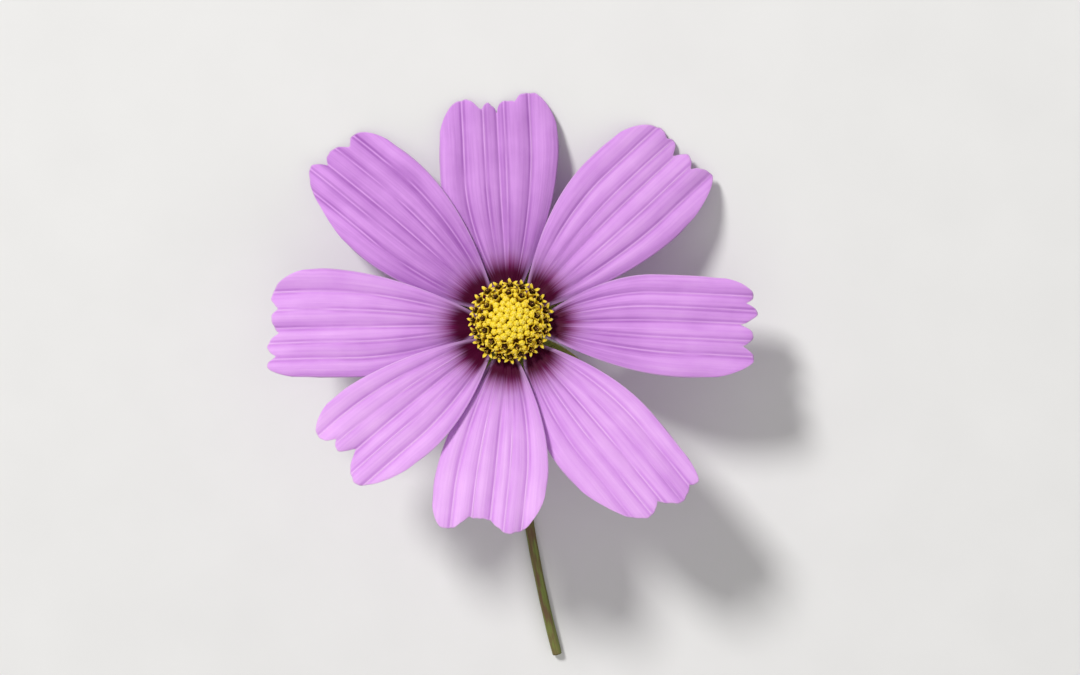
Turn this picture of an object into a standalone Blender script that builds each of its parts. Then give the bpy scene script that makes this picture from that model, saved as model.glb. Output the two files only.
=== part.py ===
"""A cosmos flower, picked and laid face up on its stem and on the tips of three petals.

Sizes are in millimetres and angles in degrees; everything is turned into metres as it is made.
The head is modelled about its own centre, with +Z along the way the face looks, and hangs
under one empty that lifts and tilts it. The stem is laid out along the ground instead.
"""
import math
from collections import namedtuple

import bpy
from mathutils import Vector

MM = 0.001
WELD = 0.01

# How the head lies: its face looks up and leans towards +Y
HEAD_TILT = 22.0
HEAD_HEIGHT = 13.0
HEAD_X = -0.44
HEAD_Y = 11.88

# Ray petals: thin pleated blades around the disc
PETAL_ROOT = 4.9
PETAL_THICKNESS = 0.32
PETAL_COLUMNS = 24
PETAL_ROWS = 9
CLAW_SHARE = 0.17
FLARE = 1.85
PLEATS = 6
PLEAT_DEPTH = 0.10
ROOT_LIFT = -0.08
EDGE_LIFT_FROM = 4.9
EDGE_LIFT_FULL = 7.5

# A petal's side: its width from the axis, where it gets there, how far its corner falls back
# from the tip, how much its edge stands above (+) or below (-) the neighbour's, and how the
# corner turns, 1 for a parabola and less for a fuller curve
Side = namedtuple("Side", "width broad_at corner lift turn", defaults=(0.64,))
# A tooth of the tip: its place left of the axis, its reach from the centre, its sharpness
Tooth = namedtuple("Tooth", "place reach sharpness")
Petal = namedtuple("Petal", "angle rise arch left right teeth")

PETALS = (
    Petal(-2, 1.5, 1.6, Side(8.1, 22, 6.0, 0.55), Side(7.9, 27, 8.0, 0.0),
          (Tooth(5.3, 37.7, 0.8), Tooth(2.7, 38.4, 0.7), Tooth(-1.0, 37.9, 0.7), Tooth(-4.2, 38.1, 0.8))),
    Petal(45, -1.43, 2.4, Side(9.7, 27, 7.0, 0.55), Side(8.7, 29, 9.0, -0.55, 0.8),
          (Tooth(5.0, 39.2, 0.2), Tooth(2.8, 39.3, 0.6), Tooth(-0.8, 39.2, 0.5), Tooth(-5.0, 39.8, 0.35))),
    Petal(93, 1.36, 0.8, Side(9.8, 23, 6.8, -0.55), Side(9.2, 30, 7.0, -0.55),
          (Tooth(5.8, 36.1, 0.22), Tooth(1.8, 35.3, 1.1), Tooth(-1.9, 35.6, 0.06), Tooth(-4.8, 36.7, 0.2))),
    Petal(139, -1.86, 2.4, Side(7.4, 25, 13.0, -0.55, 1.0), Side(9.8, 29, 6.5, 0.55),
          (Tooth(1.2, 40.6, 0.7), Tooth(-2.4, 40.1, 0.35), Tooth(-6.4, 38.9, 0.4))),
    Petal(181, 2.0, 1.5, Side(8.3, 24, 6.0, -0.55), Side(8.8, 31, 6.5, 0.55),
          (Tooth(6.3, 37.7, 0.6), Tooth(3.2, 37.7, 0.5), Tooth(-0.8, 37.0, 0.3), Tooth(-4.4, 37.0, 0.3))),
    Petal(222, 4.5, 1.4, Side(7.3, 23, 9.0, 0.55, 0.8), Side(9.1, 31, 6.0, 0.55),
          (Tooth(3.0, 34.6, 0.25), Tooth(-2.6, 33.3, 0.7), Tooth(-5.9, 34.1, 0.4))),
    Petal(264, 3.5, 1.2, Side(8.5, 25, 7.5, 0.55), Side(9.0, 28, 5.0, -0.55),
          (Tooth(3.4, 33.0, 0.2), Tooth(-1.0, 31.2, 0.06), Tooth(-6.6, 33.2, 0.16))),
    Petal(309, 2.5, 1.0, Side(8.0, 25, 6.5, 0.0), Side(8.4, 23, 11.0, -0.55, 0.8),
          (Tooth(6.6, 37.8, 0.5), Tooth(3.1, 38.5, 0.25), Tooth(-1.9, 37.2, 0.4))),
)

# Bracts under the petals: broad inner ones, one behind each petal, and narrow outer ones between
Bract = namedtuple("Bract", "name root root_height tip tip_height bow half_width thickness")
INNER_BRACT = Bract("inner_bract", 4.1, -3.0, 10.0, -1.5, 0.75, 1.85, 0.3)
OUTER_BRACT = Bract("outer_bract", 2.85, -4.35, 13.5, -4.6, 0.5, 1.25, 0.32)
BRACT_TIP_SHARE = 0.06
BRACT_SHOULDER = 0.6
BRACT_COLUMNS = 4
BRACT_ROWS = 8
BRACT_CURL = 0.25

# Receptacle, the cup that carries everything: radius and height down its outer side
RECEPTACLE_PROFILE = (
    (0.0, 0.25), (2.2, 0.1), (3.8, -0.2), (4.9, -0.55), (5.05, -0.85), (4.7, -1.5),
    (4.0, -2.5), (3.0, -3.5), (2.1, -4.4), (1.5, -5.2), (0.0, -5.2),
)
RECEPTACLE_STEPS = 28

# Disc florets: rings of open ones, leaning out, around a dome of closed buds
Ring = namedtuple("Ring", "count root_radius root_height top_radius top_height rim turn")
OPEN_RINGS = (
    Ring(20, 3.85, 0.18, 5.75, 2.7, 0.70, 0.0),
    Ring(13, 2.9, 0.42, 4.35, 3.45, 0.62, 9.0),
)
FLORET_STEPS = 8
FLORET_TUBE = 0.3
FLORET_THROAT_SHARE = 0.62
FLORET_THROAT_HEIGHT = 0.66
ANTHER_RADIUS = 0.26
ANTHER_HEIGHT = 0.55
ANTHER_POINT = 0.1
ANTHER_FOOT = 0.05

BUD_COUNT = 43
BUD_FIELD = 3.35
BUD_SIDES = 5
BUD_FOOT_SHARE = 0.5
BUD_RADIUS = 0.43
BUD_ROOT_HEIGHT = 1.6
BUD_POINT = 0.35
BUD_DOME_TOP = 4.55
BUD_DOME_FALL = 0.085
BUD_ROOT_SHARE = 0.65
BUD_CORE_PROFILE = ((0.0, 3.5), (1.3, 3.3), (2.15, 2.75), (2.6, 1.9), (2.3, 1.1), (1.7, 0.62), (0.0, 0.62))
BUD_CORE_STEPS = 20
GOLDEN_ANGLE = 137.508

# Stem: leaves the receptacle straight back, bends down and lies along the ground
STEM_RADIUS = 0.85
STEM_REST_HEIGHT = 0.815
STEM_COLLAR = 1.3
STEM_COLLAR_LENGTH = 4.0
STEM_START = 5.65
STEM_LENGTH = 59.0
STEM_SWAY = 7.5
STEM_POINTS = 26
STEM_ROUNDING = 3

COLOURS = {
    "petal": ((0.62, 0.30, 0.68, 1.0), 0.55),
    "inner_bract": ((0.24, 0.22, 0.10, 1.0), 0.6),
    "outer_bract": ((0.20, 0.30, 0.07, 1.0), 0.6),
    "receptacle": ((0.27, 0.33, 0.10, 1.0), 0.6),
    "floret": ((0.78, 0.52, 0.04, 1.0), 0.6),
    "bud": ((0.80, 0.58, 0.05, 1.0), 0.5),
    "stem": ((0.25, 0.30, 0.09, 1.0), 0.55),
}


def clear_scene():
    """Remove everything that the new file starts with."""
    for thing in list(bpy.data.objects):
        bpy.data.objects.remove(thing, do_unlink=True)


def make_material(name):
    """A plain Principled finish, from COLOURS."""
    colour, roughness = COLOURS[name]
    material = bpy.data.materials.new(name)
    material.use_nodes = True
    shader = material.node_tree.nodes["Principled BSDF"]
    shader.inputs["Base Color"].default_value = colour
    shader.inputs["Roughness"].default_value = roughness
    shader.inputs["Metallic"].default_value = 0.0
    return material


def add_part(thing, name, material, collection, parent=None):
    """Name an object, dress it, and put it in the flower's collection."""
    thing.name = name
    thing.data.name = name
    thing.data.materials.append(material)
    for home in list(thing.users_collection):
        home.objects.unlink(thing)
    collection.objects.link(thing)
    thing.parent = parent


def add_thickness(thing, thickness):
    """Turn an open surface into a closed blade, half of it on each side."""
    wall = thing.modifiers.new("thickness", "SOLIDIFY")
    wall.thickness = thickness * MM
    wall.offset = 0.0


def make_grid(rows, columns):
    """A flat grid; its X runs from -1 to 1 along a blade and its Y across it."""
    bpy.ops.mesh.primitive_grid_add(x_subdivisions=rows, y_subdivisions=columns, size=2.0)
    return bpy.context.object


def make_turned(profile, steps, centre=Vector((0.0, 0.0, 0.0))):
    """A solid turned about +Z, from its profile down the outer side."""
    mesh = bpy.data.meshes.new("turned")
    points = [(radius * MM, 0.0, height * MM) for radius, height in profile]
    mesh.from_pydata(points, [(i, i + 1) for i in range(len(points) - 1)], [])
    thing = bpy.data.objects.new("turned", mesh)
    thing.location = centre * MM
    turn = thing.modifiers.new("turn", "SCREW")
    turn.steps = turn.render_steps = steps
    turn.use_merge_vertices = True
    turn.merge_threshold = WELD * MM
    return thing


def smooth_step(value, start, end):
    """0 before start, 1 after end, and a smooth change between them."""
    share = min(max((value - start) / (end - start), 0.0), 1.0)
    return share * share * (3.0 - 2.0 * share)


def petal_reach(petal, across):
    """How far from the flower's centre the tip lies, at a distance left of the axis."""
    left, right = petal.teeth[0], petal.teeth[-1]
    if across > left.place:
        share = min((across - left.place) / (petal.left.width - left.place), 1.0)
        return left.reach - petal.left.corner * (1.0 - (1.0 - share ** 2) ** petal.left.turn)
    if across < right.place:
        share = min((across - right.place) / (-petal.right.width - right.place), 1.0)
        return right.reach - petal.right.corner * (1.0 - (1.0 - share ** 2) ** petal.right.turn)
    return max(tooth.reach - tooth.sharpness * (across - tooth.place) ** 2 for tooth in petal.teeth)


def petal_width(side, radius):
    """The distance from the axis to one side's edge, at a distance from the centre."""
    share = min((radius - PETAL_ROOT) / (side.broad_at - PETAL_ROOT), 1.0)
    return side.width * (CLAW_SHARE + (1.0 - CLAW_SHARE) * (1.0 - (1.0 - share) ** FLARE))


def petal_height(petal, side, radius, share):
    """The blade's height over the face's plane, at a share of the way to one edge."""
    longest = max(tooth.reach for tooth in petal.teeth)
    along = (radius - PETAL_ROOT) / (longest - PETAL_ROOT)
    spread = smooth_step(radius, EDGE_LIFT_FROM, EDGE_LIFT_FULL)
    pleat = PLEAT_DEPTH * math.cos(math.pi * PLEATS * share) * spread
    arch = petal.arch * 4.0 * along * (1.0 - along)
    return ROOT_LIFT + petal.rise * along + arch + side.lift * share ** 2 * spread + pleat


def make_petal(petal):
    """One blade along +X, its left side towards +Y."""
    thing = make_grid(PETAL_ROWS, PETAL_COLUMNS)
    for vertex in thing.data.vertices:
        along, share = (vertex.co.x + 1.0) / 2.0, vertex.co.y
        side = petal.left if share > 0.0 else petal.right
        reach = petal_reach(petal, share * side.width)
        radius = PETAL_ROOT + along * (reach - PETAL_ROOT)
        across = share * petal_width(side, radius)
        height = petal_height(petal, side, radius, share)
        vertex.co = Vector((radius, across, height)) * MM
    thing.rotation_euler.z = math.radians(petal.angle)
    add_thickness(thing, PETAL_THICKNESS)
    return thing


def make_bract(bract, angle):
    """One pointed bract along +X, bowed outwards and a little hollow towards the flower."""
    thing = make_grid(BRACT_ROWS, BRACT_COLUMNS)
    for vertex in thing.data.vertices:
        along, share = (vertex.co.x + 1.0) / 2.0, vertex.co.y
        taper = max((1.0 - along ** 2) * (BRACT_SHOULDER + along), BRACT_TIP_SHARE)
        across = share * bract.half_width * taper
        radius = bract.root + along * (bract.tip - bract.root)
        height = bract.root_height + along * (bract.tip_height - bract.root_height)
        height += bract.bow * 4.0 * along * (1.0 - along) + BRACT_CURL * (share * taper) ** 2
        vertex.co = Vector((radius, across, height)) * MM
    thing.rotation_euler.z = math.radians(angle)
    add_thickness(thing, bract.thickness)
    return thing


def outer_bract_angles():
    """Midway between each petal and the next."""
    angles = [petal.angle for petal in PETALS] + [PETALS[0].angle + 360.0]
    return [(here + beyond) / 2.0 for here, beyond in zip(angles, angles[1:])]


def make_open_floret(ring, index):
    """One open disc floret: a tube that widens to a rim around its anthers."""
    angle = math.radians(ring.turn + 360.0 * index / ring.count)
    outwards = Vector((math.cos(angle), math.sin(angle), 0.0))
    root = outwards * ring.root_radius + Vector((0.0, 0.0, ring.root_height))
    top = outwards * ring.top_radius + Vector((0.0, 0.0, ring.top_height))
    height = (top - root).length
    profile = (
        (0.0, height + ANTHER_HEIGHT), (ANTHER_RADIUS, height + ANTHER_HEIGHT - ANTHER_POINT),
        (ANTHER_RADIUS, height - ANTHER_FOOT), (ring.rim, height),
        (ring.rim * FLORET_THROAT_SHARE, height * FLORET_THROAT_HEIGHT), (FLORET_TUBE, 0.0), (0.0, 0.0),
    )
    thing = make_turned(profile, FLORET_STEPS, root)
    thing.rotation_mode = "QUATERNION"
    thing.rotation_quaternion = (top - root).to_track_quat("Z", "Y")
    return thing


def make_bud(index, cutters):
    """One closed bud of the dome: a five-sided post with a point."""
    radius = BUD_FIELD * math.sqrt((index + 0.5) / BUD_COUNT)
    angle = math.radians(GOLDEN_ANGLE * index)
    outwards = Vector((math.cos(angle), math.sin(angle), 0.0))
    top = outwards * radius
    top.z = BUD_DOME_TOP - BUD_DOME_FALL * radius ** 2
    root = outwards * radius * BUD_ROOT_SHARE + Vector((0.0, 0.0, BUD_ROOT_HEIGHT))
    height = (top - root).length
    foot = BUD_RADIUS * BUD_FOOT_SHARE
    profile = ((0.0, height), (BUD_RADIUS, height - BUD_POINT), (foot, 0.0), (0.0, 0.0))
    bud = make_turned(profile, BUD_SIDES, root)
    bud.rotation_mode = "QUATERNION"
    bud.rotation_quaternion = (top - root).to_track_quat("Z", "Y")
    cutters.objects.link(bud)
    bud.hide_render = True
    bud.display_type = "WIRE"
    return bud


def make_bud_dome(cutters, parent):
    """The closed buds in the middle, joined with the core that they stand on."""
    dome = make_turned(BUD_CORE_PROFILE, BUD_CORE_STEPS)
    for index in range(BUD_COUNT):
        bud = make_bud(index, cutters)
        bud.parent = parent
        union = dome.modifiers.new("bud", "BOOLEAN")
        union.operation = "UNION"
        union.solver = "EXACT"
        union.object = bud
    return dome


def stem_path(head, tilt):
    """Points down the stem, as (place, distance from its start)."""
    facing = Vector((0.0, math.sin(tilt), math.cos(tilt)))
    start = head - facing * STEM_START
    bend = math.pi / 2.0 - tilt
    bend_radius = (start.z - STEM_REST_HEIGHT) / (1.0 - math.cos(bend))
    bend_length = bend_radius * bend
    points = []
    for index in range(STEM_POINTS):
        length = STEM_LENGTH * index / (STEM_POINTS - 1)
        turned = min(length, bend_length) / bend_radius
        forward = bend_radius * (math.sin(bend) - math.sin(bend - turned))
        drop = bend_radius * (math.cos(bend - turned) - math.cos(bend))
        forward += max(length - bend_length, 0.0)
        sway = STEM_SWAY * (length / STEM_LENGTH) ** 2
        points.append((start + Vector((sway, -forward, -drop)), length))
    return points


def make_stem(head, tilt):
    """A round stem with a wider collar where it meets the receptacle."""
    curve = bpy.data.curves.new("stem", "CURVE")
    curve.dimensions = "3D"
    curve.bevel_depth = STEM_RADIUS * MM
    curve.bevel_resolution = STEM_ROUNDING
    curve.use_fill_caps = True
    curve.resolution_u = 1
    path = stem_path(head, tilt)
    spline = curve.splines.new("POLY")
    spline.points.add(len(path) - 1)
    for point, (place, length) in zip(spline.points, path):
        point.co = (*(place * MM), 1.0)
        widening = 1.0 - smooth_step(length, 0.0, STEM_COLLAR_LENGTH)
        point.radius = 1.0 + (STEM_COLLAR / STEM_RADIUS - 1.0) * widening
    return bpy.data.objects.new("stem", curve)


def build_flower():
    """Make every part of the flower, each as an object of its own."""
    flower = bpy.data.collections.new("cosmos_flower")
    cutters = bpy.data.collections.new("cutters")
    bpy.context.scene.collection.children.link(flower)
    bpy.context.scene.collection.children.link(cutters)
    finish = {name: make_material(name) for name in COLOURS}

    tilt = math.radians(HEAD_TILT)
    place = Vector((HEAD_X, HEAD_Y, HEAD_HEIGHT))
    head = bpy.data.objects.new("head", None)
    head.location = place * MM
    head.rotation_euler.x = -tilt
    flower.objects.link(head)

    receptacle = make_turned(RECEPTACLE_PROFILE, RECEPTACLE_STEPS)
    add_part(receptacle, "receptacle", finish["receptacle"], flower, head)
    add_part(make_stem(place, tilt), "stem", finish["stem"], flower)
    for number, petal in enumerate(PETALS, 1):
        add_part(make_petal(petal), f"ray_petal_{number}", finish["petal"], flower, head)
        inner = make_bract(INNER_BRACT, petal.angle)
        add_part(inner, f"{INNER_BRACT.name}_{number}", finish["inner_bract"], flower, head)
    for number, angle in enumerate(outer_bract_angles(), 1):
        outer = make_bract(OUTER_BRACT, angle)
        add_part(outer, f"{OUTER_BRACT.name}_{number}", finish["outer_bract"], flower, head)
    number = 0
    for ring in OPEN_RINGS:
        for index in range(ring.count):
            number += 1
            floret = make_open_floret(ring, index)
            add_part(floret, f"disc_floret_{number:02d}", finish["floret"], flower, head)
    add_part(make_bud_dome(cutters, head), "disc_buds", finish["bud"], flower, head)


clear_scene()
build_flower()
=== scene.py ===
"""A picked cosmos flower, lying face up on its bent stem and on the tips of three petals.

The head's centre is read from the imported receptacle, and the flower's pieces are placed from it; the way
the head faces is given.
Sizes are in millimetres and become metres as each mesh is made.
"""
from __future__ import annotations

import logging
import math
from dataclasses import dataclass, field
from enum import Enum
from typing import Mapping, Sequence, Union

import bpy
import numpy as np
from mathutils import Matrix, Vector


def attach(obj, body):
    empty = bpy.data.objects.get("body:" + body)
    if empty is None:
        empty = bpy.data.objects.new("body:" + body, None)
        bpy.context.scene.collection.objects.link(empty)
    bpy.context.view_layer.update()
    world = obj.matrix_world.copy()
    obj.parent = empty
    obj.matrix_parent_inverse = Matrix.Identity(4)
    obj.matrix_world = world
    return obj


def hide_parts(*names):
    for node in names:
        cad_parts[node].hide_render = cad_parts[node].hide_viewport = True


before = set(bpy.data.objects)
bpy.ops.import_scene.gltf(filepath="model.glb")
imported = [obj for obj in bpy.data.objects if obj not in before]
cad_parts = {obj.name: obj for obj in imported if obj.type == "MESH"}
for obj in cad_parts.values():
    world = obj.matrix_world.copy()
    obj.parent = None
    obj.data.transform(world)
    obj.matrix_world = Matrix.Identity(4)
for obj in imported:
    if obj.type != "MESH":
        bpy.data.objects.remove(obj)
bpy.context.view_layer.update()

LOG = logging.getLogger("cosmos")
MM = 0.001
BODY = "root"
Value = Union["Wire", float, int, Sequence[float], str, bool]


# ---------------------------------------------------------------- node trees


class Wire:
    """An output socket; arithmetic on it adds Math nodes to its tree."""

    def __init__(self, bench: "Bench", socket: bpy.types.NodeSocket) -> None:
        """Keep the socket and the bench that makes nodes for it.

        Args:
            bench: The bench of the socket's tree.
            socket: The output socket.
        """
        self.bench = bench
        self.socket = socket

    def _math(self, operation: str, *values: Value) -> "Wire":
        """Add one Math node.

        Args:
            operation: The node's operation.
            values: Its inputs, in order.

        Returns:
            The result.
        """
        return self.bench.node("ShaderNodeMath", dict(enumerate(values)), operation=operation)

    def __add__(self, other: Value) -> "Wire":
        """This plus other."""
        return self._math("ADD", self, other)

    def __radd__(self, other: Value) -> "Wire":
        """Other plus this."""
        return self._math("ADD", other, self)

    def __sub__(self, other: Value) -> "Wire":
        """This less other."""
        return self._math("SUBTRACT", self, other)

    def __rsub__(self, other: Value) -> "Wire":
        """Other less this."""
        return self._math("SUBTRACT", other, self)

    def __mul__(self, other: Value) -> "Wire":
        """This times other."""
        return self._math("MULTIPLY", self, other)

    def __rmul__(self, other: Value) -> "Wire":
        """Other times this."""
        return self._math("MULTIPLY", other, self)

    def __pow__(self, other: Value) -> "Wire":
        """This to the power of other."""
        return self._math("POWER", self, other)

    def __abs__(self) -> "Wire":
        """This, without its sign."""
        return self._math("ABSOLUTE", self)

    def sine(self) -> "Wire":
        """The sine of this, in radians."""
        return self._math("SINE", self)

    def cosine(self) -> "Wire":
        """The cosine of this, in radians."""
        return self._math("COSINE", self)

    def clamped(self) -> "Wire":
        """This, held between 0 and 1."""
        return self._math("MINIMUM", self._math("MAXIMUM", self, 0.0), 1.0)

    def ramp(self, start: Value, end: Value) -> "Wire":
        """A smooth change from 0 at start to 1 at end.

        Args:
            start: Where the change begins.
            end: Where it is complete.

        Returns:
            The share of the change.
        """
        inputs = {"Value": self, "From Min": start, "From Max": end}
        return self.bench.node("ShaderNodeMapRange", inputs, interpolation_type="SMOOTHSTEP")

    def sibling(self, name: str) -> "Wire":
        """Another output of the same node.

        Args:
            name: The output's name.

        Returns:
            That output.
        """
        return Wire(self.bench, self.socket.node.outputs[name])


class Bench:
    """Adds nodes to one tree; every node is made by node()."""

    def __init__(self, tree: bpy.types.NodeTree) -> None:
        """Start on a tree.

        Args:
            tree: A shader or geometry tree.
        """
        self.tree = tree

    def node(self, kind: str, inputs: Mapping[int | str, Value] | None = None,
             output: int | str | None = 0, **settings: object) -> Wire | None:
        """Add one node.

        Args:
            kind: The node's type.
            inputs: Values or links, by socket name or number.
            output: The output wanted, or None for a node that has none.
            settings: Attributes set before the inputs.

        Returns:
            The output wanted.
        """
        made = self.tree.nodes.new(kind)
        for name, value in settings.items():
            setattr(made, name, value)
        for key, value in (inputs or {}).items():
            if isinstance(value, Wire):
                self.tree.links.new(value.socket, made.inputs[key])
            else:
                made.inputs[key].default_value = value
        return None if output is None else Wire(self, made.outputs[output])

    def mix(self, share: Value, first: Value, second: Value) -> Wire:
        """Blend two colours.

        Args:
            share: How much of the second.
            first: A colour.
            second: A colour.

        Returns:
            The blend.
        """
        return self.node("ShaderNodeMix", {0: share, 6: first, 7: second}, output=2, data_type="RGBA")

    def noise(self, place: Value, scale: float = 1.0, detail: float = 3.0) -> Wire:
        """Soft noise between 0 and 1.

        Args:
            place: The coordinates.
            scale: Its fineness.
            detail: Its octaves.

        Returns:
            The noise.
        """
        return self.node("ShaderNodeTexNoise", {"Vector": place, "Scale": scale, "Detail": detail})

    def parts(self, name: str) -> tuple[Wire, Wire, Wire]:
        """Read the three parts of a vector attribute in a material."""
        first = self.node("ShaderNodeSeparateXYZ", {0: self.attribute(name, "Vector")})
        return first, first.sibling("Y"), first.sibling("Z")

    def object_place(self) -> Wire:
        """The place on the object, in metres."""
        return self.node("ShaderNodeTexCoord", output="Object")

    def vector(self, x: Value, y: Value, z: Value) -> Wire:
        """Join three values into a vector."""
        return self.node("ShaderNodeCombineXYZ", {0: x, 1: y, 2: z})

    def attribute(self, name: str, output: str = "Fac") -> Wire:
        """Read a mesh attribute in a material."""
        return self.node("ShaderNodeAttribute", output=output, attribute_name=name)


def paint(red: int, green: int, blue: int) -> tuple[float, float, float, float]:
    """Turn a screen colour into the linear one that shaders take.

    Args:
        red: 0 to 255.
        green: 0 to 255.
        blue: 0 to 255.

    Returns:
        Linear red, green and blue, and an alpha of 1.
    """
    linear = []
    for channel in (red, green, blue):
        share = channel / 255.0
        linear.append(share / 12.92 if share <= 0.04045 else ((share + 0.055) / 1.055) ** 2.4)
    return (*linear, 1.0)


# ------------------------------------------------------------------ finishes


class Finish:
    """A surface that can make its own material, once."""

    title = "finish"
    _made: dict[object, bpy.types.Material] = {}

    def surface(self, bench: Bench) -> Wire:
        """Build the shader and return its output."""
        raise NotImplementedError

    def material(self) -> bpy.types.Material:
        """Make the material, or return the one made before.

        Returns:
            The material.
        """
        if self not in Finish._made:
            made = bpy.data.materials.new(self.title)
            made.use_nodes = True
            made.node_tree.nodes.clear()
            bench = Bench(made.node_tree)
            bench.node("ShaderNodeOutputMaterial", {"Surface": self.surface(bench)}, output=None)
            Finish._made[self] = made
        return Finish._made[self]


TISSUE_SPECULAR = 0.12


def tissue(bench: Bench, colour: Wire, roughness: Value, height: Wire, depth: float,
           glow: float) -> Wire:
    """Thin plant tissue: a satin surface that lets some light through.

    Args:
        bench: The material's bench.
        colour: Its colour.
        roughness: Its roughness.
        height: What stands proud, 0 to 1.
        depth: How high that is, in millimetres.
        glow: The share of light that comes through.

    Returns:
        The shader.
    """
    bump = bench.node("ShaderNodeBump", {"Height": height, "Distance": depth * MM, "Strength": 1.0})
    skin = bench.node("ShaderNodeBsdfPrincipled", {
        "Base Color": colour, "Roughness": roughness, "Normal": bump, "Specular IOR Level": TISSUE_SPECULAR})
    if glow <= 0.0:
        return skin
    through = bench.node("ShaderNodeBsdfTranslucent", {"Color": colour, "Normal": bump})
    return bench.node("ShaderNodeMixShader", {0: glow, 1: skin, 2: through})


@dataclass(frozen=True)
class PetalFinish(Finish):
    """Mauve petal tissue: fine streaks, a wine-dark base, and painted light: pale vein lines and rim as
    painted highlights, with painted shade beside the veins.
    """

    title: str = "petal_face"
    pale: tuple = paint(250, 204, 254)
    mauve: tuple = paint(226, 163, 238)
    deep: tuple = paint(180, 110, 198)
    wine: tuple = paint(78, 0, 44)
    plum: tuple = paint(130, 22, 100)
    ash: tuple = paint(178, 126, 186)
    margin: tuple = paint(238, 206, 240)
    blotch: float = 1.0
    blotch_reach: float = 10.4
    blotch_bow: float = 2.2
    vein_width: float = 0.22
    flank_middle: float = 0.34
    flank_width: float = 0.32
    relief: float = 0.10
    glow: float = 0.32

    def surface(self, bench: Bench) -> Wire:
        """Build the petal's shader.

        Args:
            bench: The material's bench.

        Returns:
            The shader.
        """
        across, radius, inside = bench.parts("blade")
        vein, dome, seed, tone = (bench.attribute(name) for name in ("vein", "dome", "seed", "tone"))

        def streaks(crosswise: float, lengthwise: float, shift: float, detail: float) -> Wire:
            """Noise drawn out along the blade, centred on 0."""
            place = bench.vector(across * crosswise, radius * lengthwise, seed + shift)
            return bench.noise(place, detail=detail) - 0.5

        fine, broad = streaks(26.0, 0.06, 0.0, 3.0), streaks(6.0, 0.05, 7.0, 2.0)
        cloud, gap = streaks(2.5, 0.2, 3.0, 3.0), streaks(1.5, 0.12, 9.0, 1.0)
        cells = streaks(70.0, 2.5, 0.0, 2.0)

        fade = gap.ramp(-0.25, 0.05)
        # line is a painted highlight along each vein's crest, and flank is painted shade in the groove
        # beside it.
        line = (1.0 - vein.ramp(0.0, self.vein_width)) * fade
        flank = (1.0 - abs(vein - self.flank_middle).ramp(0.0, self.flank_width)) * fade
        # The petal's tone adds painted shade or painted light over the whole petal.
        depth = 0.5 + fine * 0.42 + broad * 0.45 + cloud * 0.35 + tone
        # dome pales the crown of each panel: a painted highlight.
        depth = depth - dome * 0.14 + flank * 0.18 - line * 0.33 + (1.0 - radius.ramp(9.0, 24.0)) * 0.22
        colour = bench.mix((depth * 2.0).clamped(), self.pale, self.mauve)
        colour = bench.mix((depth * 2.0 - 1.0).clamped(), colour, self.deep)

        ragged = fine * 2.4 + broad * 2.6
        reach = self.blotch_reach + ragged - across * across * self.blotch_bow
        ash = (1.0 - radius.ramp(reach, reach + 4.0)) * 0.5 * self.blotch
        colour = bench.mix(ash, colour, self.ash)
        edge = 1.0 - inside.ramp(0.1, 0.8)
        dark = (1.0 - radius.ramp(reach - 2.0, reach + 1.6)) * self.blotch * (1.0 - edge * 0.6)
        stain = bench.mix((radius + ragged * 0.5).ramp(7.8, 11.0), self.wine, self.plum)
        colour = bench.mix(dark.clamped(), colour, stain)
        pale_edge = edge * (1.0 - radius.ramp(7.0, 13.0)) * 0.22
        # rim is a painted highlight along the outer edge; pale_edge is the pale margin that the claws really
        # have.
        rim = (1.0 - inside.ramp(0.04, 0.28)) * 0.45 * radius.ramp(10.0, 14.0)
        colour = bench.mix((pale_edge + rim).clamped(), colour, self.margin)

        height = fine * 0.35 + line * 0.6 + cells * 0.12
        return tissue(bench, colour, 0.55 + cells * 0.2, height, self.relief, self.glow)


@dataclass(frozen=True)
class BractFinish(Finish):
    """A bract: green or olive-brown, with long veins and thin pale margins."""

    title: str = "bract"
    body: tuple = paint(122, 128, 66)
    vein: tuple = paint(84, 70, 40)
    margin: tuple = paint(196, 180, 140)
    margin_width: float = 0.45
    relief: float = 0.05
    glow: float = 0.25

    def surface(self, bench: Bench) -> Wire:
        """Build the bract's shader.

        Args:
            bench: The material's bench.

        Returns:
            The shader.
        """
        across, along, inside = bench.parts("blade")
        streak = bench.noise(bench.vector(across * 9.0, along * 0.12, bench.attribute("seed")))
        lines = abs((across * 11.0 + (streak - 0.5)).sine()) ** 4.0
        colour = bench.mix(((streak - 0.35) * 1.6 + lines * 0.3).clamped(), self.body, self.vein)
        colour = bench.mix(1.0 - inside.ramp(0.0, self.margin_width), colour, self.margin)
        height = lines * 0.6 + streak * 0.4
        return tissue(bench, colour, 0.5 + (streak - 0.5) * 0.2, height, self.relief, self.glow)


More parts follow.
